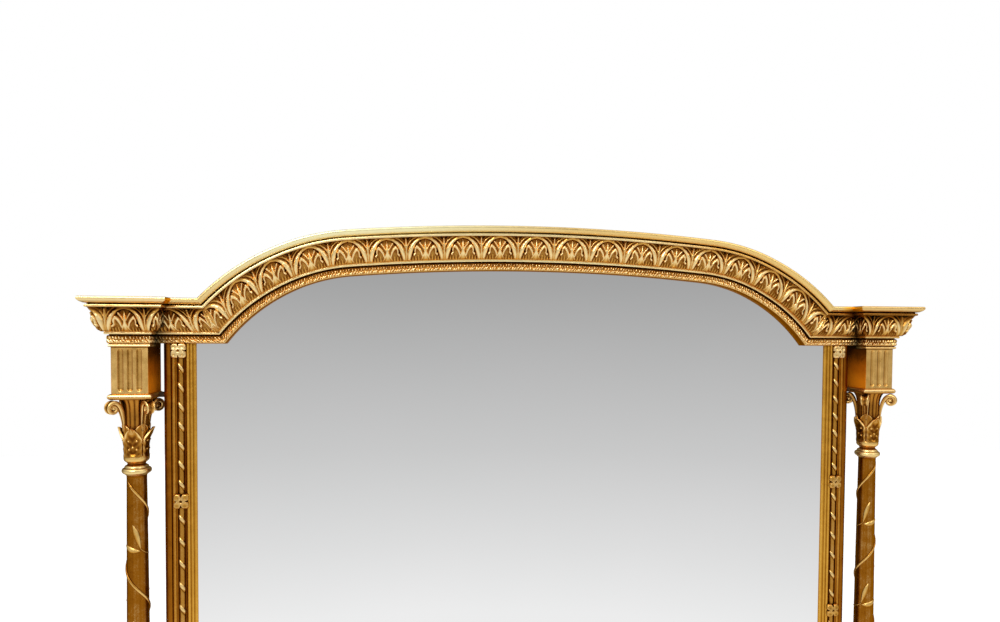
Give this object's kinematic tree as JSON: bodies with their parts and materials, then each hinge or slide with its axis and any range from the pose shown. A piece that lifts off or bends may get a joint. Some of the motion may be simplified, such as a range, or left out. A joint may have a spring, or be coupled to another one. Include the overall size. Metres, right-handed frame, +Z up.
{
  "type": "overmantel mirror",
  "caption": "Arched overmantel mirror in a gilt frame, with a moulded and carved cornice that breaks forward over slender detached columns at the sides.",
  "frame": {"origin": "on the surface that it stands on, at the middle of its width and depth", "axes": "+X to the right as seen from the room, +Y towards the wall, +Z up"},
  "size_m": [1.556, 0.109, 1.402],
  "materials": {
    "mirror_plate": "silvered glass",
    "bright_gilt": "burnished gold leaf over gesso, lightly worn",
    "toned_gilt": "gold leaf toned brown in the hollows, with red bole showing at worn edges",
    "pine": "planed and aged, unfinished",
    "iron": "dark, slotted screw heads"
  },
  "bodies": {
    "root": {"mirror_glass": "mirror_plate", "backboard_left": "pine", "backboard_middle": "pine", "backboard_right": "pine", "carcass_top_rail": "pine", "carcass_bottom_rail": "pine", "carcass_stile_left": "pine", "carcass_stile_right": "pine", "glazing_blocks": "pine", "backboard_screws": "iron", "sight_moulding_left": "bright_gilt", "sight_moulding_right": "bright_gilt", "sight_moulding_bottom": "bright_gilt", "stile_moulding_left": "toned_gilt", "stile_moulding_right": "toned_gilt", "ribbon_twist_left": "bright_gilt", "ribbon_twist_right": "bright_gilt", "rosettes_left": "bright_gilt", "rosettes_right": "bright_gilt", "band_crown": "bright_gilt", "band_shoulder_left": "bright_gilt", "band_shoulder_right": "bright_gilt", "band_return_left": "bright_gilt", "band_return_right": "bright_gilt", "frieze_crown": "toned_gilt", "frieze_shoulder_left": "toned_gilt", "frieze_shoulder_right": "toned_gilt", "frieze_return_left": "toned_gilt", "frieze_return_right": "toned_gilt", "fascia_crown": "bright_gilt", "fascia_shoulder_left": "bright_gilt", "fascia_shoulder_right": "bright_gilt", "fascia_return_left": "bright_gilt", "fascia_return_right": "bright_gilt", "mitre_leaves": "bright_gilt", "entablature_block_left": "bright_gilt", "entablature_block_right": "bright_gilt", "impost_block_left": "bright_gilt", "impost_block_right": "bright_gilt", "abacus_left": "bright_gilt", "abacus_right": "bright_gilt", "capital_bell_left": "toned_gilt", "capital_bell_right": "toned_gilt", "capital_volutes_left": "bright_gilt", "capital_volutes_right": "bright_gilt", "capital_leaves_left": "bright_gilt", "capital_leaves_right": "bright_gilt", "column_shaft_left": "toned_gilt", "column_shaft_right": "toned_gilt", "column_vine_left": "bright_gilt", "column_vine_right": "bright_gilt", "column_base_left": "bright_gilt", "column_base_right": "bright_gilt", "plinth_block_left": "bright_gilt", "plinth_block_right": "bright_gilt", "column_dowels": "pine", "column_ties": "pine", "base_board": "toned_gilt", "base_cap_moulding": "bright_gilt"}
  },
  "joints": []
}
